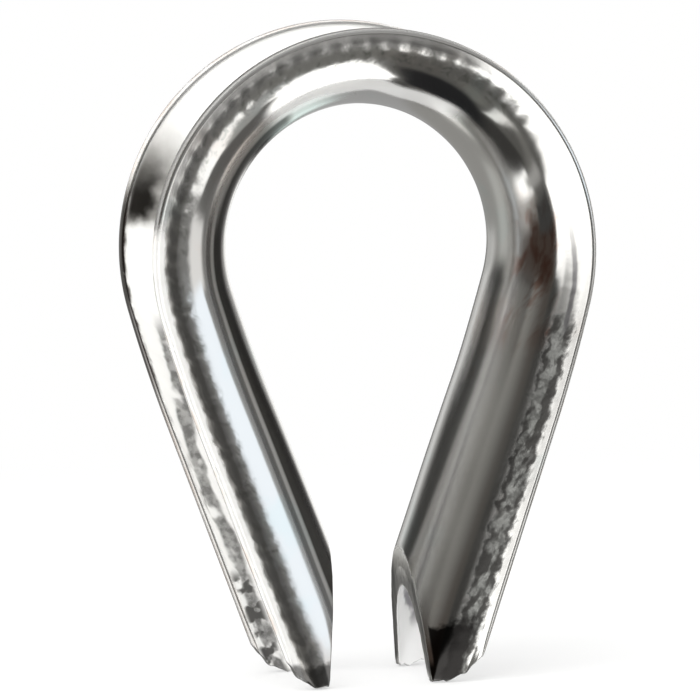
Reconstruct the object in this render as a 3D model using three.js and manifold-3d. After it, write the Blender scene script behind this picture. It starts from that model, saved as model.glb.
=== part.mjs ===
// Open-point wire rope thimble for 8 mm (5/16 in) rope: one strip of steel pressed to a
// half-round channel and bent to a teardrop, with its groove facing outwards.
//
// Frame: millimetres, +Z up along the teardrop from the point to the bow, +Y along the axis
// of the eye, +X across. The origin is the centre of the overall envelope.
// The part is built about the bow's centre and then moved there.

import * as THREE from "three";
import { mergeVertices } from "three/addons/utils/BufferGeometryUtils.js";
import Module from "manifold-3d";

const rad = THREE.MathUtils.degToRad;

// ---- teardrop, mm and degrees ---------------------------------------------------------
const BOW_R = 16.32; // radius of the lips round the bow
const BOW_HALF_ANGLE = 105; // from the top of the bow to the end of its arc, each side
const LEG_ANGLE = 19.55; // each leg's slope from the vertical
const SHOULDER_LENGTH = 9.1; // easy bend that joins the bow to the leg
const LEG_LENGTH = 28; // straight leg, before its end is trimmed

// ---- channel --------------------------------------------------------------------------
const DEPTH_TOP = 5.73; // at the bow's top: the bend draws the lips in
const DEPTH_END = 7.03; // at the leg's end
const FULL_DEPTH_AT = 60.4; // distance along the lips, from the bow's top, to DEPTH_END
const DEPTH_EASE = 0.74; // below 1, the depth grows sooner after the bow's top
const HALF_WIDTH = 6.4; // half the channel's outer width, along Y
const WALL_FLOOR = 1.3; // strip thickness in the floor of the channel
const WALL_LIP = 1.1; // strip thickness at the lips, thinned a little by forming
const LAND = 0.95; // straight flat band at each lip, the side the thimble lies on
const LIP_ROUND = 0.28; // rounding of the sheared lip edges

// ---- cut ends -------------------------------------------------------------------------
// gap: at the tip, from the middle out to the leg's end face; the two aren't closed evenly.
// tilt: the end face leans in towards its top, because the ends are cut square for a point
// that closes, and this one stands open.
const LEFT_END = { side: -1, gap: 4.18, tilt: 6.5 }; // at -X
const RIGHT_END = { side: 1, gap: 3.38, tilt: 5.2 }; // at +X
const POINT_DROP = 31.15; // from the bow's centre down to the tips
const LIP_END_DROP = 29.1; // down to where the raked end runs out at the lips
const TIP_ROUND = 0.5; // easing of the tip along the raked end
const TIP_RISE = 0.7 * TIP_ROUND; // and up the end face
const RAKE_BEND = 0.55; // the raked curve's control point, as a share of its run across X
const SLOT_TOP = -15; // Z of the slot's top, inside the eye and clear of both legs
const TRIM_REACH = 30; // the trim's extent past the part, up and to each side
const TRIM_WIDTH = 4 * HALF_WIDTH; // along Y

// ---- facet counts ---------------------------------------------------------------------
const OUTER_SEGMENTS = 20;
const INNER_SEGMENTS = 16;
const LIP_ROUND_SEGMENTS = 2;
const TRIM_CURVE_SEGMENTS = 7;
const HALF_BOW_STEPS = 23;
const SHOULDER_STEPS = 3;
const LEG_STEPS = 5;

// ---- the line of the lips, +X side ----------------------------------------------------
// Vector2 holds X and Z. Angles run from +Z towards +X, so the top of the bow is at 0.
const outward = (angle) => new THREE.Vector2(Math.sin(angle), Math.cos(angle));
const mirrored = ({ x, y }) => new THREE.Vector2(-x, y);

const bowEndAngle = rad(BOW_HALF_ANGLE);
const legAngle = rad(90 + LEG_ANGLE); // direction the leg faces, away from the eye
const shoulderR = SHOULDER_LENGTH / (legAngle - bowEndAngle);
const shoulderCentre = outward(bowEndAngle)
  .multiplyScalar(BOW_R)
  .addScaledVector(outward(bowEndAngle), -shoulderR);
const legStart = shoulderCentre.clone().addScaledVector(outward(legAngle), shoulderR);
const legDirection = new THREE.Vector2(Math.cos(legAngle), -Math.sin(legAngle));
const alongLeg = (distance) => legStart.clone().addScaledVector(legDirection, distance);

// EllipseCurve measures from +X anticlockwise, so its angle is 90 degrees less ours.
function clockwiseArc(centre, radius, from, to) {
  const quarterTurn = Math.PI / 2;
  return new THREE.EllipseCurve(
    centre.x, centre.y, radius, radius, quarterTurn - from, quarterTurn - to, true, 0,
  );
}

// Channel depth at a distance along the lips from the top of the bow.
function depthAt(distance) {
  const share = Math.min(distance / FULL_DEPTH_AT, 1);
  const growth = Math.sin((Math.PI / 2) * Math.pow(share, DEPTH_EASE)) ** 2;
  return DEPTH_TOP + (DEPTH_END - DEPTH_TOP) * growth;
}

// Stations from the top of the bow to the leg's end: a point on the line of the lips, the
// direction away from the eye, and the channel's depth there.
function halfStations() {
  const stretches = [
    [clockwiseArc(new THREE.Vector2(), BOW_R, 0, bowEndAngle), HALF_BOW_STEPS],
    [clockwiseArc(shoulderCentre, shoulderR, bowEndAngle, legAngle), SHOULDER_STEPS],
    [new THREE.LineCurve(legStart, alongLeg(LEG_LENGTH)), LEG_STEPS],
  ];
  const stations = [];
  let distance = 0;
  for (const [curve, steps] of stretches) {
    const length = curve.getLength();
    // each stretch starts at the last station of the one before
    for (let i = stations.length ? 1 : 0; i <= steps; i++) {
      const share = i / steps;
      const tangent = curve.getTangent(share);
      stations.push({
        lip: curve.getPoint(share),
        away: new THREE.Vector2(-tangent.y, tangent.x),
        depth: depthAt(distance + share * length),
      });
    }
    distance += length;
  }
  return stations;
}

// The whole line, from the end of the -X leg over the bow to the end of the +X leg.
function allStations() {
  const right = halfStations();
  const left = right
    .slice(1)
    .reverse()
    .map(({ lip, away, depth }) => ({ lip: mirrored(lip), away: mirrored(away), depth }));
  return [...left, ...right];
}

// ---- the channel's section ------------------------------------------------------------
// x runs away from the eye and is 0 at the lips; y runs along Y. The floor is at x = -depth.
function sectionPoints(depth) {
  const points = [];

  // Half ellipse below the lands; direction 1 runs from +Y to -Y, and -1 back.
  const addFace = (faceDepth, halfWidth, segments, direction) => {
    for (let i = 0; i <= segments; i++) {
      const angle = direction * (Math.PI / 2 - (Math.PI * i) / segments);
      points.push(
        new THREE.Vector2(-LAND - faceDepth * Math.cos(angle), halfWidth * Math.sin(angle)),
      );
    }
  };
  const addQuarter = (centreY, from, to) => {
    for (let i = 0; i <= LIP_ROUND_SEGMENTS; i++) {
      const angle = from + ((to - from) * i) / LIP_ROUND_SEGMENTS;
      points.push(
        new THREE.Vector2(
          -LIP_ROUND + LIP_ROUND * Math.cos(angle),
          centreY + LIP_ROUND * Math.sin(angle),
        ),
      );
    }
  };
  // Lip between two values of y, both its edges rounded.
  const addLip = (low, high) => {
    addQuarter(low + LIP_ROUND, -Math.PI / 2, 0);
    addQuarter(high - LIP_ROUND, 0, Math.PI / 2);
  };

  const grooveHalfWidth = HALF_WIDTH - WALL_LIP;
  addFace(depth - LAND, HALF_WIDTH, OUTER_SEGMENTS, 1);
  addLip(-HALF_WIDTH, -grooveHalfWidth);
  addFace(depth - LAND - WALL_FLOOR, grooveHalfWidth, INNER_SEGMENTS, -1);
  addLip(grooveHalfWidth, HALF_WIDTH);
  return points;
}

// ---- the strip: a straight extrusion of the section, laid along the stations ----------
function bentChannel() {
  const stations = allStations();
  const sections = stations.map(({ depth }) => sectionPoints(depth));
  const reference = sectionPoints(DEPTH_TOP);
  const geometry = new THREE.ExtrudeGeometry(new THREE.Shape(reference), {
    depth: stations.length - 1,
    steps: stations.length - 1,
    bevelEnabled: false,
  });

  // Each vertex is traced to its section point by its place in the reference section, and
  // to its station by its z.
  const key = (x, y) => x.toFixed(4) + "," + y.toFixed(4);
  const indexOf = new Map(reference.map(({ x, y }, i) => [key(x, y), i]));
  const position = geometry.getAttribute("position");
  for (let i = 0; i < position.count; i++) {
    const stationIndex = Math.round(position.getZ(i));
    const { lip, away } = stations[stationIndex];
    const pointIndex = indexOf.get(key(position.getX(i), position.getY(i)));
    const point = sections[stationIndex][pointIndex];
    position.setXYZ(i, lip.x + away.x * point.x, point.y, lip.y + away.y * point.x);
  }
  return geometry;
}

// ---- the trim: what is left after the ends are cut, as a profile extruded along Y ------
// One leg's end: the end face runs down to the eased tip, and the raked end rises from
// there in one easy curve to the lips.
function endProfile({ side, gap, tilt }) {
  const slope = Math.tan(rad(tilt));
  const at = (x, z) => new THREE.Vector2(side * x, z);
  const onFace = (z) => at(gap - (z + POINT_DROP) * slope, z);
  const lip = alongLeg((legStart.y + LIP_END_DROP) / -legDirection.y);
  const lowX = gap + TIP_ROUND;
  return {
    slotTop: onFace(SLOT_TOP),
    faceEnd: onFace(-POINT_DROP + TIP_RISE),
    tip: onFace(-POINT_DROP),
    low: at(lowX, -POINT_DROP),
    bend: at(lowX + RAKE_BEND * (lip.x - lowX), -POINT_DROP),
    lip: at(lip.x, lip.y),
  };
}

function trimBlock() {
  const left = endProfile(LEFT_END);
  const right = endProfile(RIGHT_END);
  const profile = new THREE.Shape();
  const lineTo = ({ x, y }) => profile.lineTo(x, y);
  const curveTo = (control, end) =>
    profile.quadraticCurveTo(control.x, control.y, end.x, end.y);

  profile.moveTo(TRIM_REACH, TRIM_REACH);
  profile.lineTo(-TRIM_REACH, TRIM_REACH);
  profile.lineTo(-TRIM_REACH, left.lip.y);
  lineTo(left.lip);
  curveTo(left.bend, left.low);
  curveTo(left.tip, left.faceEnd);
  lineTo(left.slotTop);
  lineTo(right.slotTop);
  lineTo(right.faceEnd);
  curveTo(right.tip, right.low);
  curveTo(right.bend, right.lip);
  profile.lineTo(TRIM_REACH, right.lip.y);
  profile.closePath();

  const geometry = new THREE.ExtrudeGeometry(profile, {
    depth: TRIM_WIDTH,
    bevelEnabled: false,
    curveSegments: TRIM_CURVE_SEGMENTS,
  });
  geometry.rotateX(Math.PI / 2); // the profile's y becomes Z, and the extrusion runs to -Y
  geometry.translate(0, TRIM_WIDTH / 2, 0);
  return geometry;
}

// ---- booleans -------------------------------------------------------------------------
const wasm = await Module();
wasm.setup();

function toSolid(geometry) {
  geometry.deleteAttribute("normal");
  geometry.deleteAttribute("uv");
  const merged = mergeVertices(geometry, 1e-4);
  const triangles = new Uint32Array(merged.index.array);
  const build = () =>
    new wasm.Manifold(
      new wasm.Mesh({
        numProp: 3,
        vertProperties: new Float32Array(merged.getAttribute("position").array),
        triVerts: triangles,
      }),
    );
  const solid = build();
  if (solid.volume() > 0) return solid;

  // laying the strip along its stations turns it inside out, so its triangles are turned back
  for (let i = 0; i < triangles.length; i += 3) {
    [triangles[i + 1], triangles[i + 2]] = [triangles[i + 2], triangles[i + 1]];
  }
  return build();
}

function toGeometry(solid) {
  const { vertProperties, triVerts } = solid.getMesh();
  const geometry = new THREE.BufferGeometry();
  geometry.setAttribute(
    "position",
    new THREE.BufferAttribute(new Float32Array(vertProperties), 3),
  );
  geometry.setIndex(new THREE.BufferAttribute(new Uint32Array(triVerts), 1));
  geometry.computeVertexNormals();
  return geometry;
}

// ---- the part -------------------------------------------------------------------------
function zincPlate() {
  return new THREE.MeshStandardMaterial({
    name: "bright_zinc_plate",
    color: new THREE.Color(0.73, 0.73, 0.71),
    metalness: 1,
    roughness: 0.18,
  });
}

function thimbleBody() {
  const trimmed = toSolid(bentChannel()).intersect(toSolid(trimBlock()));
  const mesh = new THREE.Mesh(toGeometry(trimmed), zincPlate());
  mesh.name = "thimble_body";
  mesh.position.z = -(BOW_R - POINT_DROP) / 2; // the envelope's middle comes to the origin
  return mesh;
}

const part = new THREE.Group();
part.add(thimbleBody());

export default part;
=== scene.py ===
# A zinc-plated steel thimble: a channel-shaped strip bent round a teardrop eye. It stands in the XZ
# plane, centred on the origin, with the bow up (+Z), the two cut points down, and the channel open
# away from the eye. Near is -Y, the viewer's side; right is +X.
import math
from functools import cached_property
import bmesh
import bpy
import numpy as np
from mathutils import Matrix, Vector


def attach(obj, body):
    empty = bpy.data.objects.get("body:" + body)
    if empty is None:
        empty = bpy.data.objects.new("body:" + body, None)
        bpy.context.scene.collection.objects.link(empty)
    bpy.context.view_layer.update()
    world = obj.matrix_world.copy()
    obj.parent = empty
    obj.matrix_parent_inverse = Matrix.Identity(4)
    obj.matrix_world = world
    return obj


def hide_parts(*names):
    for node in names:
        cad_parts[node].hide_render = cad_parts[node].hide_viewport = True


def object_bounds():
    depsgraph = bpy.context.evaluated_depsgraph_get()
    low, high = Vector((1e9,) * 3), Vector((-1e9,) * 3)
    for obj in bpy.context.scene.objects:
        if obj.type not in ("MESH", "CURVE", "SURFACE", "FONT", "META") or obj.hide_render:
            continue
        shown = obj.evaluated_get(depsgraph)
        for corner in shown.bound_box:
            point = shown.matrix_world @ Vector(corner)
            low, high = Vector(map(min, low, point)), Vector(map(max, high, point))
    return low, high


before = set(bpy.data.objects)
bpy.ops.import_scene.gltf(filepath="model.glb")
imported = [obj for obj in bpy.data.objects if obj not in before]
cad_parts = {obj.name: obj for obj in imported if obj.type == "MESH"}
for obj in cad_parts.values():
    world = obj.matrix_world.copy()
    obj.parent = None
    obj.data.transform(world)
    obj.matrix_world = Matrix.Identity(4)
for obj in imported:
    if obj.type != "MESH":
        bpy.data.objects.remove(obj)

cad_low, cad_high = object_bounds()
MM = 0.001

# ---- form, in mm and degrees -------------------------------------------------------------
# s runs along the strip from the middle of the bow, positive to the right; u runs outwards from the
# eye and is 0 at the lips; v runs along Y. Tables keyed -1, 1 hold the left and the right end.
BOW_R, BOW_HALF_ANGLE = 16.32, 105.0
LEG_ANGLE = 19.55  # lean of the legs from vertical
SHOULDER = 9.1  # length of the bend between bow and leg
DEPTH_TOP, DEPTH_END, DEPTH_RUN, DEPTH_POWER = 5.73, 7.03, 60.4, 0.74
HALF_WIDTH, WALL_FLOOR, WALL_LIP = 6.4, 1.3, 1.1
LAND = 0.95  # nearly straight part of the wall under the lip
FULLNESS = 0.98  # below 1 the channel is fuller than a half ellipse
LIP_R = 0.34  # eased corners of the lip
LIP_CORNER = 1.15  # share of the lip edge, out of 3, that each corner takes
SPREAD = 0.11  # radians the flanks of the right half lean out at the lips
SPREAD_FROM, SPREAD_TO = 1.25, 2.0  # the soft crease under that lean, below the lips
SPREAD_FULL_V = 4.5  # beyond this far from the middle plane the lean is complete

HALF_GAP = {-1: 4.18, 1: 3.38}  # from the middle plane to the end face at the point
FACE_TILT = {-1: 6.5, 1: 5.2}
POINT_DROP, LIP_END_DROP = 31.15, 29.1  # below the bow's centre
TIP_ROUND, RAKE_BEND = 0.5, 0.55
CUT_BLEND = 0.22  # rounding where the end face meets the raked cut
EDGE_R = 0.13  # eased edge of the cut
ROLL_OVER = 0.17  # how far the cut pushes the strip's end over

ROUND_STEPS_OUTER, ROUND_STEPS_INNER = 72, 60
LAND_STEPS = 6
LIP_STEPS = 9  # odd, so that the caps can pair the points of a lip
ROWS, EDGE_STEPS = 760, 5
FACE_MIXES = (0.16, 0.32, 0.47)  # rings on the end face, as shares of the way across the wall
END_RINGS = EDGE_STEPS + len(FACE_MIXES)

CENTRE_Z = (BOW_R - POINT_DROP) / 2
arc_end = math.radians(BOW_HALF_ANGLE)
leg_normal = math.radians(90 + LEG_ANGLE)
shoulder_r = SHOULDER / (leg_normal - arc_end)
arc_length = BOW_R * arc_end
leg_from = arc_length + SHOULDER
shoulder_centre = np.array([math.sin(arc_end), math.cos(arc_end)]) * (BOW_R - shoulder_r)
leg_start = shoulder_centre + shoulder_r * np.array([math.sin(leg_normal), math.cos(leg_normal)])
leg_direction = np.array([math.cos(leg_normal), -math.sin(leg_normal)])


def ease(x):
    x = np.clip(x, 0, 1)
    return x * x * (3 - 2 * x)


def lip_line(s):
    """x and z of the line of the lips at s, and of its outward normal."""
    side = np.where(s < 0, -1.0, 1.0)
    along = np.abs(s)
    on_bow = along <= arc_length
    bow_angle = np.minimum(along, arc_length) / BOW_R
    bend_angle = arc_end + np.clip(along - arc_length, 0, SHOULDER) / shoulder_r
    on_leg = np.maximum(along - leg_from, 0)
    centre_x, centre_z = shoulder_centre
    x = np.where(on_bow, BOW_R * np.sin(bow_angle), centre_x + shoulder_r * np.sin(bend_angle))
    z = np.where(on_bow, BOW_R * np.cos(bow_angle), centre_z + shoulder_r * np.cos(bend_angle))
    x = x + on_leg * leg_direction[0]
    z = z + on_leg * leg_direction[1]
    angle = np.where(on_bow, bow_angle, bend_angle)
    return side * x, z, side * np.sin(angle), np.cos(angle)


def channel_depth(s):
    share = np.minimum(np.abs(s) / DEPTH_RUN, 1)
    rise = np.sin(math.pi / 2 * share**DEPTH_POWER) ** 2
    return DEPTH_TOP + (DEPTH_END - DEPTH_TOP) * rise


def flank_lean(s):
    return SPREAD * ease((s - 3.0) / 9.0)


# ---- the section: a closed loop of points ------------------------------------------------
# The loop goes down and up the outer face (towards the eye), over the lip at -Y, along the inside
# of the channel and over the lip at +Y. On the faces STATION is 1 at the +Y lip and -1 at the other;
# beyond ROUND_END is the land. On a lip it goes from 0 to 1 along the loop.
ROUND_END, LAND_SPAN = 0.9, 0.1


def face_stations(round_steps):
    land = [1 - LAND_SPAN * i / LAND_STEPS for i in range(LAND_STEPS)]
    rounded = [ROUND_END * (1 - 2 * i / round_steps) for i in range(round_steps + 1)]
    return land + rounded + [-t for t in reversed(land)]


lip_stations = [i / LIP_STEPS for i in range(1, LIP_STEPS)]
LOOP = [("outer", t) for t in face_stations(ROUND_STEPS_OUTER)]
LOOP += [("lip-", t) for t in lip_stations]
LOOP += [("inner", -t) for t in face_stations(ROUND_STEPS_INNER)]
LOOP += [("lip+", t) for t in lip_stations]
LOOP_SIZE = len(LOOP)
KIND = np.array([kind for kind, _ in LOOP])
STATION = np.array([t for _, t in LOOP])
OUTER, INNER = KIND == "outer", KIND == "inner"
LIP_SIDE = np.where(KIND == "lip-", -1.0, np.where(KIND == "lip+", 1.0, 0.0))
FACING = OUTER * 1.0 - INNER * 1.0  # both faces of the wall are displaced the same way


def partners():
    """Index of the loop point straight across the wall from each one."""
    partner = np.zeros(LOOP_SIZE, int)
    outer, inner = np.where(OUTER)[0], np.where(INNER)[0]
    for here, there in ((outer, inner), (inner, outer)):
        apart = np.abs(STATION[there][None, :] - STATION[here][:, None])
        partner[here] = there[np.argmin(apart, axis=1)]
    for side in (-1, 1):
        lip = np.where(LIP_SIDE == side)[0]
        partner[lip] = lip[::-1]
    return partner


PARTNER = partners()


def lean_arm(below):
    """How far out from the crease a point below the lips is; constant under the crease."""
    crease = SPREAD_TO - SPREAD_FROM
    w = np.clip((below - SPREAD_FROM) / crease, 0, 1)
    return np.minimum(below, SPREAD_FROM) + crease * (w - w**3 + w**4 / 2)


def section(depth, inset, lean):
    """u and v of the loop. depth and lean are shaped (..., LOOP_SIZE), lean in radians; inset moves
    the outline into the metal, for the eased edges of the cut ends."""
    half_width = HALF_WIDTH - inset
    inner_half = HALF_WIDTH - WALL_LIP + inset
    corner_r = LIP_R - 0.6 * inset

    angle = np.clip(STATION / ROUND_END, -1, 1) * math.pi / 2
    land_share = (np.abs(STATION) - ROUND_END) / LAND_SPAN
    u_land = -LAND + (LAND - corner_r - inset) * land_share
    round_depth = np.where(OUTER, depth - inset - LAND, depth - LAND - WALL_FLOOR + inset)
    u = np.where(land_share > 0, u_land, -LAND - round_depth * np.cos(angle) ** FULLNESS)
    v = np.where(OUTER, half_width, inner_half) * np.sin(angle)

    # the lip edge: two eased corners with a flat between them, counted 0 to 3 from the outside
    w = 3 * np.where(LIP_SIDE < 0, STATION, 1 - STATION)
    turn = np.clip(np.minimum(w, 3 - w) / LIP_CORNER, 0, 1) * math.pi / 2
    across = np.clip((w - LIP_CORNER) / (3 - 2 * LIP_CORNER), 0, 1)
    corner = corner_r - corner_r * np.cos(turn)
    v_lip = (1 - across) * (half_width - corner) + across * (inner_half + corner)
    u = np.where(LIP_SIDE == 0, u, -inset - corner_r + corner_r * np.sin(turn))
    v = np.where(LIP_SIDE == 0, v, LIP_SIDE * v_lip)

    flank = np.clip(np.abs(v) / SPREAD_FULL_V, 0, 1) ** 2
    return u, v - lean * np.sign(v) * lean_arm(np.maximum(-u, 0)) * flank


def strip_points(s, inset=0.0, mix=0.0):
    """Positions of loop points at their own s, shaped (..., LOOP_SIZE). mix moves each point
    towards its partner across the wall. z is from the bow's centre."""
    u, v = section(channel_depth(s), inset, flank_lean(s))
    u = u + (u[..., PARTNER] - u) * mix
    v = v + (v[..., PARTNER] - v) * mix
    x, z, normal_x, normal_z = lip_line(s)
    return np.stack([x + normal_x * u, v, z + normal_z * u], -1)


# ---- the cut ends ------------------------------------------------------------------------
def rake_curve(side):
    """x and z of the raked cut, from the point up to where it meets the lips."""
    low = np.array([HALF_GAP[side] + TIP_ROUND, -POINT_DROP])
    lip = leg_start + (leg_start[1] + LIP_END_DROP) / -leg_direction[1] * leg_direction
    bend = np.array([low[0] + RAKE_BEND * (lip[0] - low[0]), low[1]])
    t = np.linspace(0, 1, 60)[:, None]
    curve = (1 - t) ** 2 * low + 2 * t * (1 - t) * bend + t**2 * lip
    return curve[:, 0], curve[:, 1]


RAKE = {side: rake_curve(side) for side in (-1, 1)}


def into_metal(side, points):
    """Roughly the distance from the cut, positive in the metal that is kept."""
    x, y, z = np.abs(points[..., 0]), points[..., 1], points[..., 2]
    tilt = math.radians(FACE_TILT[side])
    # unevenness of both cuts: mm times the sine of radians per mm
    rough = 0.012 * np.sin(y * 5.1 + side) + 0.008 * np.sin(y * 13.7 + 2.0)
    wave = (
        0.10
        + 0.085 * np.sin(x * 5.0 + side * 1.3 + np.sign(y) * 0.8)
        + 0.045 * np.sin(x * 9.7 + np.sign(y) * 2.0)
    )
    face_x = HALF_GAP[side] - (z + POINT_DROP) * math.tan(tilt)
    face = (x - face_x) * math.cos(tilt) - rough
    rake_x, rake_z = RAKE[side]
    slope = np.interp(x, rake_x, np.gradient(rake_z, rake_x))
    rake = (z - np.interp(x, rake_x, rake_z) - wave) / np.sqrt(1 + slope * slope)
    h = np.clip(0.5 + 0.5 * (rake - face) / CUT_BLEND, 0, 1)
    return rake * (1 - h) + face * h - CUT_BLEND * h * (1 - h)


def cut_at(side, inset=0.0, mix=0.0):
    """s at which each loop point meets the cut, found by halving a stretch of the leg."""
    low = np.full(LOOP_SIZE, leg_from + 1.0)
    high = np.full(LOOP_SIZE, leg_from + 24.0)
    for _ in range(46):
        middle = (low + high) / 2
        kept = into_metal(side, strip_points(side * middle, inset, mix)) > 0
        low = np.where(kept, middle, low)
        high = np.where(kept, high, middle)
    return side * (low + high) / 2


def end_rings(side, cut):
    """Rings that ease the edge of the cut and fill its face, going outwards."""
    row = strip_points(cut - side * EDGE_R)
    corner = strip_points(cut)
    face = strip_points(cut_at(side, EDGE_R), EDGE_R)
    rings = []
    for step in range(1, EDGE_STEPS + 1):
        q = step / EDGE_STEPS
        rings.append((1 - q) ** 2 * row + 2 * q * (1 - q) * corner + q * q * face)
    for mix in FACE_MIXES:
        rings.append(strip_points(cut_at(side, EDGE_R, mix), EDGE_R, mix))
    return rings


# ---- small-scale form --------------------------------------------------------------------
def wobble(x, seed, period):
    """Smooth irregular wave of about the given period, about -1 to 1."""
    random = np.random.default_rng(seed)
    total = 0.0
    for weight in (1.0, 0.8, 0.6, 0.5):
        rate = 2 * math.pi * x / (period * random.uniform(0.65, 1.5))
        total = total + weight * np.sin(rate + random.uniform(0, 6.28))
    return total / 2.2


def two_sided(s, v, seed, period):
    """A wobble that differs between the two walls and blends across the middle."""
    w = 0.5 + 0.5 * np.tanh(v / 1.6)
    return wobble(s, seed, period) * (1 - w) + wobble(s, seed + 1, period) * w


def relief(s, v, below, girth):
    """Displacement in mm: puckers in a band below the lips, finer cells among them, and slow dents
    along the walls. below is the depth under the lips, girth the distance round the section."""
    # puckers, one every 1.58 mm, weaker on the right leg
    band = np.exp(-(((below - 1.65) / 0.65) ** 2))
    shift = 1.3 * two_sided(s, v, seed=11, period=5.1) + np.sign(v) * 1.7 + 0.5 * below
    phase = s / 1.58 * 2 * math.pi + shift
    height = 0.0095 * (0.62 + 0.38 * two_sided(s, v, seed=5, period=3.4))
    leg = 1 - 0.45 * ease((s - 29.0) / 5.0)
    # almost smooth round the right shoulder
    calm = 1 - 0.85 * ease((s - 13.0) / 5.0) * ease((34.0 - s) / 4.0)
    pucker = height * band * np.sin(phase) * leg * calm

    cell_band = np.exp(-(((below - 1.8) / 0.9) ** 2))
    cell_wave = np.sin(girth * 4.6 + 2.6 * two_sided(s, v, seed=23, period=2.6))
    cells = 0.0024 * calm * cell_band * two_sided(s, v, seed=21, period=1.35) * cell_wave

    dents = 0.010 * two_sided(s, v, seed=31, period=13.0) * ease((below - 1.0) / 3.0)
    return pucker + cells + dents + 0.0045 * wobble(s + 0.7 * v, seed=37, period=8.1)


def build_surface():
    """Ring points (rings, LOOP_SIZE, 3) in mm, and the values the material reads at each."""
    left, right = cut_at(-1), cut_at(1)
    start, stop = left + EDGE_R, right - EDGE_R
    run = start + (stop - start) * np.linspace(0, 1, ROWS)[:, None]
    below = -section(channel_depth(run), 0.0, flank_lean(run))[0]
    points = np.concatenate([
        end_rings(-1, left)[::-1],
        strip_points(run),
        end_rings(1, right),
    ])
    rows = slice(END_RINGS, END_RINGS + ROWS)

    round_loop = np.roll(points, -1, axis=1) - np.roll(points, 1, axis=1)
    normals = np.cross(round_loop, np.gradient(points, axis=0))
    normals /= np.linalg.norm(normals, axis=-1, keepdims=True) + 1e-12
    steps = np.linalg.norm(points[rows] - np.roll(points[rows], 1, axis=1), axis=-1)
    steps[:, 0] = 0
    girth = np.cumsum(steps, axis=1)

    x, y, z = (points[rows][..., i] for i in range(3))
    push = relief(run, y, below, girth)
    # the cut rolls the strip's ends over a little, most at the points
    low = np.clip((-z - 24.0) / 6.0, 0, 1) ** 1.3
    from_left, from_right = run - run[:1], run[-1:] - run
    for side, from_end in ((-1, from_left), (1, from_right)):
        push = push + np.where(x * side > 0, ROLL_OVER * low * np.exp(-from_end / 2.0), 0.0)
    moves = normals[rows] * (push * FACING)[..., None]
    points[rows] += moves
    # the end rings follow the row they join, then both faces of its wall together
    for row, step in ((0, -1), (ROWS - 1, 1)):
        both = (moves[row] + moves[row][PARTNER]) / 2
        for away in range(1, END_RINGS + 1):
            blend = min(1.0, away / EDGE_STEPS)
            points[END_RINGS + row + step * away] += moves[row] * (1 - blend) + both * blend
    points[..., 2] -= CENTRE_Z

    def pad(values):
        return np.pad(values, ((END_RINGS, END_RINGS), (0, 0)), mode="edge")

    ramp_out = np.minimum(np.arange(1, END_RINGS + 1) / EDGE_STEPS, 1.0)
    on_cut = np.concatenate([ramp_out[::-1], np.zeros(ROWS), ramp_out])
    values = {
        "run": pad(run),
        "below": pad(below),
        "inside": np.clip((pad(below) - 0.12) / 0.35, 0, 1) * INNER,
        "cutface": on_cut[:, None] * np.ones(LOOP_SIZE),
        "girth": pad(girth),
        "tocut": pad(np.minimum(from_left, from_right)),
    }
    return points, values


def cap(ring, flip):
    """Faces that join the outer and inner sides of an end ring straight across the wall."""
    outer = np.where(OUTER)[0].tolist()
    inner = np.where(INNER)[0][::-1].tolist()
    faces = []
    i = j = 0
    # walk down both sides at once, always stepping on the one that is behind
    while i < len(outer) - 1 or j < len(inner) - 1:
        inner_done = j >= len(inner) - 1
        if i < len(outer) - 1 and (
            inner_done or STATION[outer[i + 1]] >= STATION[inner[j + 1]]
        ):
            faces.append((outer[i], inner[j], outer[i + 1]))
            i += 1
        else:
            faces.append((outer[i], inner[j], inner[j + 1]))
            j += 1
    for side in (-1, 1):
        lip = np.where(LIP_SIDE == side)[0].tolist()
        chain = [lip[0] - 1] + lip + [(lip[-1] + 1) % LOOP_SIZE]
        for k in range(len(chain) // 2 - 1):
            faces.append((chain[k], chain[k + 1], chain[-2 - k], chain[-1 - k]))
    base = ring * LOOP_SIZE
    turn = -1 if flip else 1
    return [tuple(base + m for m in face)[::turn] for face in faces]


def build_thimble():
    points, values = build_surface()
    ring_count = len(points)
    faces = []
    for ring in range(ring_count - 1):
        a = ring * LOOP_SIZE
        b = a + LOOP_SIZE
        for j in range(LOOP_SIZE):
            after = (j + 1) % LOOP_SIZE
            faces.append((a + j, a + after, b + after, b + j))
    faces += cap(0, flip=False)
    faces += cap(ring_count - 1, flip=True)

    mesh = bpy.data.meshes.new("thimble")
    mesh.from_pydata((points.reshape(-1, 3) * MM).tolist(), [], faces)
    mesh.validate()
    for name, value in values.items():
        attribute = mesh.attributes.new(name, "FLOAT", "POINT")
        flat = np.ascontiguousarray(value.reshape(-1), dtype=np.float32)
        attribute.data.foreach_set("value", flat)

    bm = bmesh.new()
    bm.from_mesh(mesh)
    bmesh.ops.remove_doubles(bm, verts=bm.verts, dist=1e-7)
    bmesh.ops.recalc_face_normals(bm, faces=bm.faces)
    for face in bm.faces:
        face.smooth = True
    bm.to_mesh(mesh)
    bm.free()
    thimble = bpy.data.objects.new("thimble", mesh)
    bpy.context.scene.collection.objects.link(thimble)
    return thimble


thimble = build_thimble()


# ---- shader arithmetic -------------------------------------------------------------------
class Field:
    """A node output. Python arithmetic on it adds Math nodes."""

    def __init__(self, socket):
        self.socket = socket

    def __add__(self, other):
        return calc("ADD", self, other)

    def __sub__(self, other):
        return calc("SUBTRACT", self, other)

    def __rsub__(self, other):
        return calc("SUBTRACT", other, self)

    def __mul__(self, other):
        return Product(self, other)

    def __abs__(self):
        return calc("ABSOLUTE", self)


class Product(Field):
    """a * b, built only when it is used, so that a * b + c becomes one Multiply Add node."""

    def __init__(self, *factors):
        self.factors = factors

    @cached_property
    def socket(self):
        return calc("MULTIPLY", *self.factors).socket

    def __add__(self, other):
        return calc("MULTIPLY_ADD", *self.factors, other)


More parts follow.
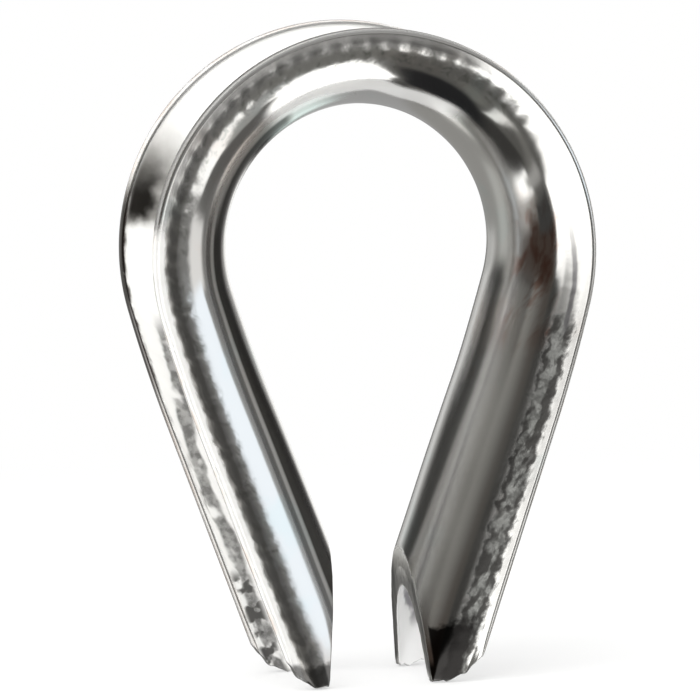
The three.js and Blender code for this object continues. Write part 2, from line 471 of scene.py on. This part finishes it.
def feed(target, value):
    """Link a Field to an input, or set the input to a number or an RGB colour."""
    if isinstance(value, Field):
        value.socket.id_data.links.new(value.socket, target)
    else:
        target.default_value = (*value, 1.0) if isinstance(value, tuple) else value


def add_node(tree, kind, inputs, **settings):
    node = tree.nodes.new("ShaderNode" + kind)
    for name, value in settings.items():
        setattr(node, name, value)
    for key, value in inputs.items():
        feed(node.inputs[key], value)
    return node


def field(tree, kind, inputs, output=0, **settings):
    return Field(add_node(tree, kind, inputs, **settings).outputs[output])


def tree_of(*values):
    return next(v for v in values if isinstance(v, Field)).socket.id_data


def calc(operation, *values):
    return field(tree_of(*values), "Math", dict(enumerate(values)), operation=operation)


def maximum(a, b):
    return calc("MAXIMUM", a, b)


def ramp(value, off, on):
    """Smooth step from 0 where value is off to 1 where it is on; off may be the larger."""
    inputs = {"Value": value, "From Min": off, "From Max": on, "To Min": 0.0, "To Max": 1.0}
    return field(
        tree_of(value), "MapRange", inputs, output="Result", interpolation_type="SMOOTHSTEP"
    )


def mix(factor, base, layer):
    """Colour that goes from base to layer as factor goes from 0 to 1."""
    inputs = {0: factor, 6: base, 7: layer}
    return field(tree_of(factor), "Mix", inputs, output=2, data_type="RGBA", clamp_factor=True)


def vector(x, y, z):
    return field(tree_of(x, y, z), "CombineXYZ", {0: x, 1: y, 2: z})


def components(value):
    return [Field(socket) for socket in add_node(
        tree_of(value), "SeparateXYZ", {0: value}
    ).outputs]


def noise(coord, scale, detail=2.0, rough=0.5, distortion=0.0):
    inputs = {
        "Vector": coord,
        "Scale": scale,
        "Detail": detail,
        "Roughness": rough,
        "Distortion": distortion,
    }
    return field(tree_of(coord), "TexNoise", inputs, output="Fac")


# ---- bright zinc plating -----------------------------------------------------------------
# In these formulas run, below, to_cut, x, y and z are in mm, so a number added to one, or an off or
# on beside it, is a place or width in mm. A noise times a number is a ragged edge of that many mm,
# and a number that multiplies a finished mask is the strength of its layer.
zinc = bpy.data.materials.new("zinc")
zinc.use_nodes = True
zinc_tree = zinc.node_tree

run, below, inside, cut_face, girth, to_cut = (
    field(zinc_tree, "Attribute", {}, output="Fac", attribute_name=name)
    for name in ("run", "below", "inside", "cutface", "girth", "tocut")
)
geometry = add_node(zinc_tree, "NewGeometry", {})
position = field(
    zinc_tree,
    "VectorMath",
    {0: Field(geometry.outputs["Position"]), "Scale": 1000.0},  # metres to mm
    operation="SCALE",
)
x, y, z = components(position)
strip = vector(run, girth, 0.0)  # follows the strip round the bow
drawn = vector(run * 0.12, girth, 0.0)  # the same, stretched along the strip

# masks and patterns that several layers share
lip_band = ramp(abs(below - 1.80), off=1.05, on=0.45)
rubbed = ramp(run, off=12.0, on=17.0) * ramp(run, off=34.0, on=31.0)  # right shoulder
pitted = lip_band * (rubbed * -0.85 + 1.0)
edge = ramp(Field(geometry.outputs["Pointiness"]), off=0.505, on=0.56)
edge = edge * maximum(ramp(below, off=0.35, on=0.15), ramp(to_cut, off=0.8, on=0.3))
mottle = noise(position, scale=2.6, detail=4.0, rough=0.65)
right_tip = ramp(x, off=-1.0, on=1.0)
lip_face = ramp(below, off=0.16, on=0.03)
# places of the stain on the left shoulder, and the beige round it
stain_at = run + (noise(position, scale=0.9) * 1.2 + 20.9)
beige = ramp(stain_at, off=-2.4, on=-1.2) * ramp(stain_at, off=8.0, on=2.0)

NEUTRAL, BROWNISH, BLUE_GREEN = (0.80, 0.792, 0.772), (0.80, 0.735, 0.69), (0.715, 0.80, 0.79)
PIT_GREY = (0.60, 0.60, 0.575)
REFLECTION_BAND_DARK, REFLECTION_BAND_LIGHT = (0.040, 0.038, 0.035), (0.37, 0.375, 0.36)
THIN_LINE_DARK, RUST = (0.12, 0.115, 0.125), (0.50, 0.31, 0.25)
LAND_REFLECTION_BROWN, FLANK_SHADE_DARK = (0.36, 0.345, 0.315), (0.060, 0.055, 0.050)
HIGHLIGHT_RIM_LOW, HIGHLIGHT_RIM_HIGH = (0.60, 0.595, 0.58), (0.80, 0.795, 0.78)
CROWN_HIGHLIGHT = (0.97, 0.965, 0.95)
DULL_LOW, DULL_HIGH, PAINTED_LIGHT_TIP = (0.84, 0.835, 0.815), (0.97, 0.965, 0.95), (0.99, 0.985, 0.98)
BEIGE, DIRT_AND_SHADE, TONGUE_GREY = (0.29, 0.28, 0.26), (0.036, 0.033, 0.030), (0.22, 0.21, 0.235)
NEAR_BLACK = (0.035, 0.033, 0.032)
LIP_PALE, LIP_BROWN, LIP_DARK = (0.86, 0.85, 0.83), (0.74, 0.66, 0.60), (0.105, 0.101, 0.094)
FAR_LIP_REFLECTION_DARK, EDGE_HIGHLIGHT = (0.045, 0.034, 0.028), (0.95, 0.945, 0.93)
CUT_LOW, CUT_HIGH = (0.70, 0.69, 0.66), (0.93, 0.915, 0.88)
SHADED_CUT_LOW, SHADED_CUT_HIGH = (0.06, 0.058, 0.055), (0.20, 0.193, 0.183)


def film_tone():
    """Neutral zinc with a faint blue-green and brown film, and grey blotches in the pitted band."""
    film = noise(position, scale=0.16, detail=3.0, rough=0.55, distortion=0.4)
    tone = mix(ramp(film, off=0.56, on=0.72) * 0.55, NEUTRAL, BROWNISH)
    tone = mix(ramp(film, off=0.44, on=0.30) * 0.45, tone, BLUE_GREEN)
    blotch = noise(strip, scale=1.15, detail=3.0, rough=0.6, distortion=0.6)
    return mix(pitted * ramp(blotch, off=0.50, on=0.68), tone, PIT_GREY)


def right_leg(tone):
    """Painted reflection band with lighter cells, and a thin dark line above it. Also returns the
    band.
    """
    # painted reflection: a dark serrated band with lighter cells on the near face of the right leg
    on_leg = ramp(noise(strip, scale=0.9) * 2.5 + run, off=31.4, on=33.2)
    teeth = calc("SINE", noise(strip, scale=0.55) * 5.0 + run * 3.9)
    tooth_height = ramp(noise(strip, scale=0.7), off=0.36, on=0.62) * 0.17
    ragged = (noise(strip, scale=1.7, detail=3.0, rough=0.6) - 0.5) * 0.7
    serration = teeth * tooth_height + ragged
    from_band = abs(below + serration - 1.72)
    band = ramp(from_band, off=1.00, on=0.62) * on_leg

    cells = noise(vector(run * 0.70, girth, 3.0), scale=1.15)
    cells = ramp(from_band * -0.34 + (cells + 0.07), off=0.35, on=0.55)
    speckle = noise(position, scale=1.7, detail=3.0, rough=0.65)
    cells = cells * (ramp(speckle, off=0.36, on=0.60) * 0.6 + 0.4)
    reflection_band_tone = mix(cells, REFLECTION_BAND_DARK, REFLECTION_BAND_LIGHT)
    tone = mix(band * (ramp(y, off=1.0, on=-1.0) * 0.47 + 0.45), tone, reflection_band_tone)

    # a thin dark line painted along the near face of the right leg, above the band
    thin_line_at = ramp(run, off=30.0, on=22.0) * 0.45 + 1.45
    thin_line = ramp(abs(serration * 0.12 + below - thin_line_at), off=0.26, on=0.08)
    thin_line = thin_line * (ramp(run, off=21.5, on=28.0) * ramp(run, off=33.0, on=31.5))
    thin_line = thin_line * ramp(y, off=0.0, on=-1.0)
    return mix(thin_line * 0.75, tone, THIN_LINE_DARK), band


def right_shoulder(tone):
    """Faint reddish-brown film."""
    patches = noise(vector(run * 0.35, girth, 5.0), scale=0.8, detail=3.0, rough=0.6)
    rusty = ramp(patches, off=0.45, on=0.66)
    rusty = rusty * (ramp(run, off=19.0, on=25.0) * ramp(run, off=36.0, on=30.0))
    rusty = rusty * (ramp(below, off=2.2, on=2.8) * ramp(y, off=-3.2, on=-4.2))
    return mix(rusty * 0.85, tone, RUST)


def near_left_flank(tone):
    """Painted light on the near left flank. Also returns the mask of the pale highlight rim."""
    near_left = ramp(y, off=-0.5, on=-1.5) * (ramp(run, off=-17.0, on=-24.0) * (1.0 - inside))
    # painted highlight: a pale rim just under the near lip
    pale_at = noise(strip, scale=0.9, detail=3.0, rough=0.6) * 0.5 + below
    highlight_rim = near_left * ramp(run, off=-22.0, on=-24.2) * ramp(pale_at, off=1.12, on=0.86)
    # painted reflection: a brown band on the land
    land = near_left * ramp(abs(pale_at - 1.45), off=0.55, on=0.30)
    tone = mix(land * 0.55, tone, LAND_REFLECTION_BROWN)
    cloud = noise(position, scale=1.1, detail=4.0, rough=0.65)
    tone = mix(highlight_rim, tone, mix(cloud, HIGHLIGHT_RIM_LOW, HIGHLIGHT_RIM_HIGH))

    # painted shade: a dark stripe and a dark line along the flank
    stripe_at = ramp(run, off=-30.0, on=-48.0) * -0.8 + y
    stripe = ramp(y, off=-4.85, on=-4.62) * ramp(stripe_at, off=-3.35, on=-3.95)
    line = ramp(abs(y + 5.2), off=0.24, on=0.09) * 0.7
    dark = maximum(near_left * stripe, near_left * line)
    return mix(dark * 0.92, tone, FLANK_SHADE_DARK), highlight_rim


def bow_underside(tone):
    """Painted highlight strip, and painted shade on its left. Also returns the strip."""
    # painted highlight: a pale satin strip along the near side of the bow
    crown_at = ramp(run, off=0.0, on=4.0) * -0.62 + (y + 4.85)
    crown_highlight = ramp(abs(crown_at), off=0.80, on=0.40)
    crown_highlight = crown_highlight * (ramp(run, off=-11.5, on=-8.8) * ramp(run, off=11.5, on=8.0))
    crown_highlight = crown_highlight * (1.0 - inside)
    tone = mix(crown_highlight * 0.9, tone, CROWN_HIGHLIGHT)
    # painted shade: a dark edge towards the eye on the left of the strip
    dark = ramp(abs(y + 3.75), off=0.90, on=0.50)
    dark = dark * (ramp(run, off=-7.6, on=-9.0) * ramp(run, off=-26.0, on=-19.0))
    return mix(dark * (1.0 - inside) * 0.85, tone, FLANK_SHADE_DARK), crown_highlight


def groove_shade_and_dirt():
    """Painted shade as a mark down the left leg, spots near its end, and the stain on the left
    shoulder.
    """
    # painted shade: a dark mark just under the lips inside the left leg's groove
    lower_mark = ramp(run, off=-44.5, on=-48.5) * 0.35 + 1.4
    mark_at = ramp(run, off=-33.0, on=-44.0) * -0.95 + lower_mark
    from_mark = abs(below - (noise(strip, scale=0.5) * 0.9 + mark_at))
    mark = ramp(from_mark, off=0.62, on=0.30) * ramp(run, off=-30.5, on=-33.0)
    mark = mark * ramp(noise(strip, scale=0.55), off=0.30, on=0.50)
    patchy = ramp(noise(position, scale=1.3, detail=3.0, rough=0.6), off=0.36, on=0.62)
    mark = mark * (patchy * 0.26 + 0.48)

    spots = ramp(abs(below - 1.0), off=1.0, on=0.4)
    spots = spots * (ramp(z, off=-15.8, on=-17.0) * ramp(x, off=0.0, on=-1.0))
    spots = spots * ramp(y, off=0.0, on=1.0)
    spots = spots * (ramp(noise(position, scale=1.2), off=0.42, on=0.60) * 0.85)

    stain = ramp(stain_at, off=-2.0, on=-1.0) * ramp(stain_at, off=5.0, on=0.2)
    stain = stain * ramp(noise(position, scale=0.8) * 1.6 + below, off=3.6, on=2.2)
    return inside * maximum(mark, maximum(stain * 0.99, spots))


def groove(tone):
    """Dull inside of the channel, with its marks. Also returns the mask of the dirt and painted
    shade.
    """
    dull = mix(noise(drawn, scale=1.3, detail=4.0, rough=0.6), DULL_LOW, DULL_HIGH)
    # painted light: the groove lighter near the right point
    dull = mix(ramp(x, off=-1.0, on=1.0) * ramp(to_cut, off=4.0, on=1.5), dull, PAINTED_LIGHT_TIP)
    tone = mix(inside, tone, dull)
    tone = mix(beige * inside * (ramp(below, off=4.4, on=3.0) * 0.85), tone, BEIGE)
    dirt_and_shade = groove_shade_and_dirt()
    tone = mix(dirt_and_shade, tone, DIRT_AND_SHADE)

    # grey tongue on the far wall of the right leg, near its end
    from_tongue = x - ((z + 16.5) * -0.27 + 4.0)
    from_tongue = abs((noise(position, scale=0.9) - 0.5) * 1.6 + from_tongue)
    tongue = ramp(from_tongue, off=0.85, on=0.30)
    tongue = tongue * (ramp(z, off=-15.2, on=-16.6) * ramp(z, off=-21.2, on=-19.6))
    tongue = tongue * inside * ramp(y, off=0.0, on=1.5)
    return mix(tongue * 0.85, tone, TONGUE_GREY), dirt_and_shade


def point_dark_patches(tone):
    """Dark patches painted on the near side of the two points, partly clear on the right one."""
    from_cut = noise(position, scale=1.1, detail=3.0, rough=0.6) * 2.4 + to_cut
    top_z = right_tip * (ramp(x, off=3.2, on=6.8) * 0.9 + 2.2) + -22.0
    height = noise(position, scale=0.8, detail=3.0, rough=0.6) * 2.0 + z
    point_dark = ramp(from_cut, off=6.6, on=5.2) * ramp(height - top_z, off=1.5, on=0.8)
    point_dark = point_dark * (1.0 - inside)
    point_dark = point_dark * (ramp(y, off=-0.6, on=-2.2) * (right_tip * 0.19 + 0.80))

    clear = right_tip * ramp(noise(position, scale=1.4) * 0.9 + below, off=2.0, on=1.4)
    clear_at_cut = ramp(noise(position, scale=0.9) * 0.7 + to_cut, off=1.15, on=0.80)
    clear_at_cut = right_tip * (ramp(z, off=-22.7, on=-21.9) * clear_at_cut)
    return mix(point_dark * (1.0 - maximum(clear, clear_at_cut * 0.85)), tone, NEAR_BLACK)


def lips(tone):
    """Thinly plated lips, brownish in places, and a painted dark reflection on the far lip. Also
    returns it.
    """
    brown = ramp(noise(position, scale=0.35, detail=3.0, rough=0.6), off=0.42, on=0.62)
    lip_tone = mix(brown, LIP_PALE, LIP_BROWN)
    dark = maximum(beige, ramp(run, off=-23.8, on=-22.4) * ramp(run, off=12.0, on=5.0))
    dark = dark * ramp(y, off=-0.5, on=-1.5) * 0.92
    tone = mix(lip_face, tone, mix(dark, lip_tone, LIP_DARK))
    # painted reflection: a dark outline on the far lip of the left leg
    far_lip_reflection = ramp(noise(strip, scale=0.8) * 0.5 + below, off=0.66, on=0.42)
    far_lip_reflection = far_lip_reflection * (ramp(run, off=-19.0, on=-23.0) * ramp(y, off=0.0, on=1.0))
    far_lip_reflection = far_lip_reflection * (ramp(run, off=-33.0, on=-41.0) * -0.65 + 1.0)
    return mix(far_lip_reflection, tone, FAR_LIP_REFLECTION_DARK), far_lip_reflection


def cut_ends(tone):
    """Mottled cut faces, with painted shade low down and on the far side of the right one."""
    pale_cut = mix(mottle, CUT_LOW, CUT_HIGH)
    shaded_cut = mix(mottle, SHADED_CUT_LOW, SHADED_CUT_HIGH)
    # painted shade: the cut faces darker low down and on the far wall of the right cut
    shaded_cut_tone = mix(ramp(mottle * 1.2 + z, off=-14.2, on=-16.4), pale_cut, shaded_cut)
    shaded_cut_tone = mix(right_tip * (ramp(y, off=1.5, on=3.0) * 0.85), shaded_cut_tone, NEAR_BLACK)
    return mix(cut_face, tone, shaded_cut_tone)


def roughness(band, highlight_rim):
    """Bright outside, satin at the lips and the cuts, dull in the groove."""
    polish = noise(drawn, scale=0.55, detail=4.0, rough=0.6)
    outside = polish * 0.10 + 0.045
    outside = lip_band * 0.05 + outside
    outside = ramp(below, off=1.0, on=0.5) * 0.05 + outside
    outside = edge * 0.10 + outside
    outside = ramp(below, off=3.6, on=4.8) * 0.12 + outside
    outside = maximum(band, highlight_rim) * 0.12 + outside
    near_turn = ramp(abs(y + 4.5), off=1.25, on=0.60) * ramp(run, off=3.0, on=-6.0)
    outside = near_turn * 0.12 + outside
    in_groove = polish * 0.16 + 0.36
    rough = inside * (in_groove - outside) + outside
    return cut_face * (0.30 - rough) + rough


def metallic(dirt_and_shade, far_lip_reflection, highlight_rim, crown_highlight):
    """Less metallic where the surface is matt."""
    matt = maximum(inside * (1.0 - dirt_and_shade), lip_face * (1.0 - far_lip_reflection))
    matt = maximum(matt, highlight_rim)
    # two satin stripes on the near side of the right leg
    satin = ramp(abs(y + 3.8), off=0.95, on=0.15)
    satin = satin * (ramp(run, off=27.0, on=33.0) * (1.0 - inside))
    matt = maximum(matt, satin * 0.17)
    matt = maximum(matt, crown_highlight * 0.95)
    stripe = ramp(abs(y + 1.35), off=1.05, on=0.45)
    stripe = stripe * (ramp(run, off=27.0, on=33.0) * ramp(run, off=43.0, on=34.0))
    matt = maximum(matt, stripe * (1.0 - inside) * 0.24)
    upper_cut = cut_face * right_tip * ramp(mottle * 1.2 + z, off=-15.0, on=-13.8)
    matt = maximum(matt, upper_cut * 0.9)
    return matt * -0.55 + 1.0


def fine_surface():
    """Orange peel, drawing lines along the strip, pits by the lips, grain; heights in mm."""
    peel = noise(position, scale=1.9, rough=0.45)
    lines = noise(drawn, scale=7.0, rough=0.6)
    pits = noise(strip, scale=1.9, detail=1.5)
    grain = noise(position, scale=6.0, detail=3.0, rough=0.6)
    height = peel * 0.0012
    height = lines * 0.00045 + height
    height = pits * pitted * 0.0050 + height
    height = grain * inside * 0.003 + height
    height = grain * cut_face * 0.012 + height
    return field(zinc_tree, "Bump", {"Strength": 1.0, "Distance": MM, "Height": height})


def plate_thimble():
    tone, band = right_leg(film_tone())
    tone, highlight_rim = near_left_flank(right_shoulder(tone))
    tone, crown_highlight = bow_underside(tone)
    tone, dirt_and_shade = groove(tone)
    tone, far_lip_reflection = lips(point_dark_patches(tone))
    # painted highlight along the edges of the lips and the cuts
    tone = mix(edge * 0.55, cut_ends(tone), EDGE_HIGHLIGHT)

    surface = zinc_tree.nodes["Principled BSDF"].inputs
    feed(surface["Base Color"], tone)
    feed(surface["Roughness"], roughness(band, highlight_rim))
    feed(surface["Metallic"], metallic(dirt_and_shade, far_lip_reflection, highlight_rim, crown_highlight))
    feed(surface["Normal"], fine_surface())
    thimble.data.materials.append(zinc)


plate_thimble()
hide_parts("thimble_body")
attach(thimble, "root")

# ---- studio ------------------------------------------------------------------------------
# Soft boxes and dark flags that the polished metal shows as bands, each laid over those before.
# Azimuth is measured from -Y towards +X, elevation up from the horizon, all in degrees:
# (azimuth from, to, elevation from, to, softness in azimuth, in elevation, colour, strength,
#  rise of elevation per degree of azimuth)
CARDS = [
    # overhead and behind
    (-181, 181, 24, 95, 8, 10, (1.0, 1.0, 0.99), 0.42, 0),
    (-181, -62, 34, 95, 14, 12, (1.0, 1.0, 0.99), 0.62, 0),
    (128, 181, -75, 95, 6, 10, (1.0, 1.0, 1.0), 0.38, 0),
    # floor side, in front: dark, with fainter stripes
    (-108, 24, -95, -20, 8, 5, (1.0, 0.98, 0.92), 0.10, 0),
    (-60, -8, -34, -27, 16, 5, (1.0, 0.98, 0.92), 0.16, -0.15),
    (-28, -4, -52, -42, 12, 6, (1.0, 0.98, 0.9), 0.16, 0.4),
    (-42, -20, -46, -39, 7, 4, (1.0, 0.99, 0.96), 0.95, 0.7),
    (-98, -49, -58, -34, 8, 5, (1.0, 0.97, 0.92), 0.045, 0),
    (-100, 10, -95, -56, 10, 8, (0.95, 0.95, 1.0), 0.02, 0),
    # left of the front
    (-100, -55, -26, -12, 12, 8, (1.0, 0.98, 0.92), 0.24, 0),
    (-90, -12, 0, 28, 10, 8, (1.0, 0.98, 0.92), 0.065, 0),
    (-130, -48, 4, 34, 56, 12, (1.0, 0.99, 0.93), 0.33, 0),
    (-87, -61, 9, 16.5, 6, 1.6, (1.0, 0.96, 0.92), 0.05, 0),
    (-88, -32, -14, 10, 16, 9, (1.0, 0.74, 0.61), 0.055, 0),
    (-146, -57, -32, -22.5, 7, 3, (1.0, 1.0, 0.99), 1.75, 0),
    (-66, -32, -28.5, -23, 12, 4, (1.0, 0.99, 0.96), 0.38, 0.08),
    (-60, -36, -19, -8, 4, 4, (1.0, 0.98, 0.95), 0.05, 0),
    (-88, -78, -16.5, -9.5, 3, 3, (1.0, 0.98, 0.95), 0.65, 0),
    # front, above the horizon
    (-22, 40, 2, 36, 8, 7, (1.0, 0.99, 0.97), 0.27, 0),
    (6, 30, 12, 26, 8, 6, (1.0, 0.99, 0.97), 0.42, 0),
    # the dark camera line, and the white card in front of it
    (-31, -15, 2.0, 8.0, 5, 3, (1.0, 0.98, 0.93), 0.045, 0),
    (-20, 15, -4.6, 5.5, 4, 2, (1.0, 0.99, 0.95), 0.14, 0),
    (-12, 2, 0.5, 4.0, 5, 2, (1.0, 0.99, 0.96), 0.20, 0),
    (-31, 10.5, -19.5, -2.4, 3.5, 2.0, (1.0, 0.995, 0.98), 1.75, -0.03),
    (-6, 12.0, -6.0, -1.0, 3, 1.6, (1.0, 0.995, 0.98), 1.5, 0),
    (6, 14.8, -9.8, -3.9, 2.2, 1.6, (1.0, 0.995, 0.98), 1.75, 0),
    (-30, -15, -6.0, 1.3, 3.5, 2.2, (1.0, 0.995, 0.98), 1.4, 0),
    # right of the front
    (11, 36, -15, 3, 3, 4, (1.0, 0.98, 0.95), 0.16, 0),
    (12, 30, -7, 2, 5, 3, (1.0, 0.98, 0.96), 0.085, 0.12),
    (12, 30, -42, -15, 6, 5, (1.0, 0.99, 0.93), 0.17, 0),
    (51, 78, -13, 2.5, 10, 4, (1.0, 0.99, 0.98), 0.86, 0),
    (37.5, 71.5, 1.3, 17, 4, 3.5, (0.875, 0.935, 1.0), 1.24, -0.05),
    (79, 112, -26, 24, 9, 6, (1.0, 0.98, 0.95), 0.17, 0),
    (32, 58, -27, -14.5, 3, 3, (1.0, 1.0, 0.985), 1.35, -0.2),
    (30, 62, -38, -28, 6, 4, (0.97, 1.0, 0.98), 0.36, 0),
    (61, 112, -47, -26, 5, 5, (1.0, 0.99, 0.97), 0.12, 0),
    (21.5, 112, -84, -44, 3, 4, (1.0, 0.998, 0.985), 1.75, -0.10),
    (30, 52, -54, -37, 4, 4, (1.0, 0.998, 0.985), 1.6, -0.15),
    # behind, right
    (106, 131, -44, 24, 5, 6, (1.0, 0.96, 0.92), 0.055, 0),
    (131, 145, -24, 20, 6, 6, (1.0, 0.98, 0.96), 0.30, 0),
    (144, 165, -17, 12, 7, 6, (1.0, 1.0, 0.985), 1.20, 0.2),
    (136, 160, -31, -17, 6, 4, (1.0, 0.97, 0.95), 0.09, 0.9),
    (118, 154, -52, -33, 6, 5, (0.86, 1.0, 0.965), 1.15, 0.75),
    # behind, mostly left
    (-181, -112, -60, 9, 6, 6, (1.0, 0.99, 0.95), 0.31, 0),
    (-133, -114, -38, 11.5, 8, 5, (0.99, 1.0, 0.96), 0.50, 0),
    (-198, -150, -1, 13, 26, 6, (1.0, 1.0, 0.99), 0.85, -0.25),
    (163, 184, -4, 12, 5, 5, (1.0, 1.0, 0.99), 0.05, 0),
    (-176, -155, -6, 4, 6, 2, (1.0, 1.0, 0.98), 0.50, 0),
    (150, 222, 15, 45, 12, 8, (1.0, 1.0, 0.99), 0.04, 0),
    (-139, -108, 13, 25, 6, 5, (1.0, 0.98, 0.93), 0.09, 0),
    (-146, -116, 5.0, 24, 9, 10, (1.0, 0.98, 0.93), 0.04, 0),
    (-148, -120, -72, -56, 6, 4, (1.0, 0.99, 0.95), 1.05, 0.4),
]
SURROUND_LOW, SURROUND_HIGH = (0.12, 0.118, 0.112), (0.34, 0.34, 0.335)
WINDOW_AZIMUTH, WINDOW_ELEVATION = -48.0, 5.0
BACKDROP = (1.0, 1.0, 0.998)


def soft_span(distance, low, high, softness):
    """1 between low and high, given the distance from their middle, with soft ends."""
    half = (high - low) / 2
    return ramp(abs(distance), off=half + softness / 2, on=half - softness / 2)


def build_world():
    world = bpy.data.worlds.new("studio")
    bpy.context.scene.world = world
    world.use_nodes = True
    tree = world.node_tree
    tree.nodes.clear()
    direction = components(field(tree, "TexCoord", {}, output="Generated"))
    azimuth = calc("ARCTAN2", direction[0], direction[1] * -1.0) * (180 / math.pi)
    elevation = calc("ARCSINE", direction[2]) * (180 / math.pi)

    colour = mix(ramp(elevation, off=-30, on=30), SURROUND_LOW, SURROUND_HIGH)
    for az_from, az_to, el_from, el_to, az_soft, el_soft, rgb, strength, rise in CARDS:
        turn = calc("WRAP", azimuth - (az_from + az_to) / 2, 180.0, -180.0)
        climb = turn * -rise + (elevation - (el_from + el_to) / 2)
        across = soft_span(turn, az_from, az_to, az_soft)
        card = across * soft_span(climb, el_from, el_to, el_soft)
        colour = mix(card, colour, tuple(channel * strength for channel in rgb))
    studio = field(tree, "Background", {"Color": colour})

    # matt surfaces see an even dome with a large bright window in front on the left
    window = ramp(abs(azimuth - WINDOW_AZIMUTH), off=62.0, on=40.0)
    window = window * ramp(abs(elevation - WINDOW_ELEVATION), off=75.0, on=45.0)
    dome = ramp(elevation, off=-20.0, on=70.0) * 0.75 + 0.75
    window_colour = mix(window, (1.0, 1.0, 1.0), (1.0, 0.998, 0.99))
    soft = {"Color": window_colour, "Strength": window * 3.3 + dome}

    rays = add_node(tree, "LightPath", {}).outputs
    is_diffuse, is_camera = Field(rays["Is Diffuse Ray"]), Field(rays["Is Camera Ray"])
    lighting = {0: is_diffuse, 1: studio, 2: field(tree, "Background", soft)}
    lit = field(tree, "MixShader", lighting)
    backdrop = field(tree, "Background", {"Color": BACKDROP})
    seen = field(tree, "MixShader", {0: is_camera, 1: lit, 2: backdrop})
    add_node(tree, "OutputWorld", {"Surface": seen})


build_world()

# ---- the floor: pale, matt, and fading into the backdrop with distance --------------------
FLOOR_RADIUS = 1.3  # metres, like the distances of its fade
FLOOR_SEGMENTS, FLOOR_RINGS = 96, 24


def floor_material():
    material = bpy.data.materials.new("pale_floor")
    material.use_nodes = True
    tree = material.node_tree
    tree.nodes.clear()
    place = field(tree, "NewGeometry", {}, output="Position")
    from_centre = field(tree, "VectorMath", {0: place}, output="Value", operation="LENGTH")
    glow_share = ramp(from_centre, off=0.035, on=0.16) * 0.46 + 0.54
    matt = field(tree, "BsdfDiffuse", {"Color": (0.70, 0.70, 0.697)})
    glow = field(tree, "Emission", {"Color": BACKDROP})
    surface = field(tree, "MixShader", {0: glow_share, 1: matt, 2: glow})
    add_node(tree, "OutputMaterial", {"Surface": surface})
    return material


def build_floor():
    """A disc of rings, finer towards the middle, at the foot of the thimble."""
    level = float(cad_low.z)
    verts = [(0.0, 0.0, level)]
    for i in range(1, FLOOR_RINGS + 1):
        radius = FLOOR_RADIUS * (i / FLOOR_RINGS) ** 2
        for j in range(FLOOR_SEGMENTS):
            angle = 2 * math.pi * j / FLOOR_SEGMENTS
            verts.append((radius * math.cos(angle), radius * math.sin(angle), level))
    faces = [(0, 1 + j, 1 + (j + 1) % FLOOR_SEGMENTS) for j in range(FLOOR_SEGMENTS)]
    for i in range(FLOOR_RINGS - 1):
        base = 1 + i * FLOOR_SEGMENTS
        for j in range(FLOOR_SEGMENTS):
            a, b = base + j, base + (j + 1) % FLOOR_SEGMENTS
            faces.append((a, a + FLOOR_SEGMENTS, b + FLOOR_SEGMENTS, b))
    mesh = bpy.data.meshes.new("floor")
    mesh.from_pydata(verts, [], faces)
    floor = bpy.data.objects.new("floor", mesh)
    bpy.context.scene.collection.objects.link(floor)
    mesh.materials.append(floor_material())
    floor.visible_glossy = False


build_floor()

# ---- camera ------------------------------------------------------------------------------
# turned from +Y towards +X, looking down, and rolled, in degrees
CAMERA_TURN, CAMERA_DOWN, CAMERA_ROLL = 13.0, 5.2, 1.45
LENS, SENSOR_WIDTH = 500.0, 36.0
VIEW_WIDTH = 50.65123  # mm across the view at the thimble
BOW_RIGHT, BOW_UP = 0.4920405, 7.297395  # mm from the middle of the view to the bow's centre


def build_camera():
    turn, down, roll = map(math.radians, (CAMERA_TURN, CAMERA_DOWN, CAMERA_ROLL))
    view = Vector((
        math.sin(turn) * math.cos(down), math.cos(turn) * math.cos(down), -math.sin(down)
    ))
    level = Vector((math.cos(turn), -math.sin(turn), 0.0))
    upright = level.cross(view)
    right = level * math.cos(roll) - upright * math.sin(roll)
    up = level * math.sin(roll) + upright * math.cos(roll)
    bow_centre = Vector((0, 0, -CENTRE_Z * MM))
    target = bow_centre - right * (BOW_RIGHT * MM) - up * (BOW_UP * MM)
    distance = VIEW_WIDTH * MM * LENS / SENSOR_WIDTH

    data = bpy.data.cameras.new("camera")
    data.lens = LENS
    data.sensor_width = SENSOR_WIDTH
    data.clip_start = 0.01
    data.clip_end = 10.0
    camera = bpy.data.objects.new("camera", data)
    bpy.context.scene.collection.objects.link(camera)
    rows = [
        (right[i], up[i], -view[i], target[i] - view[i] * distance) for i in range(3)
    ]
    camera.matrix_world = Matrix(rows + [(0, 0, 0, 1)])
    bpy.context.scene.camera = camera


build_camera()
bpy.context.scene.view_settings.view_transform = "Standard"
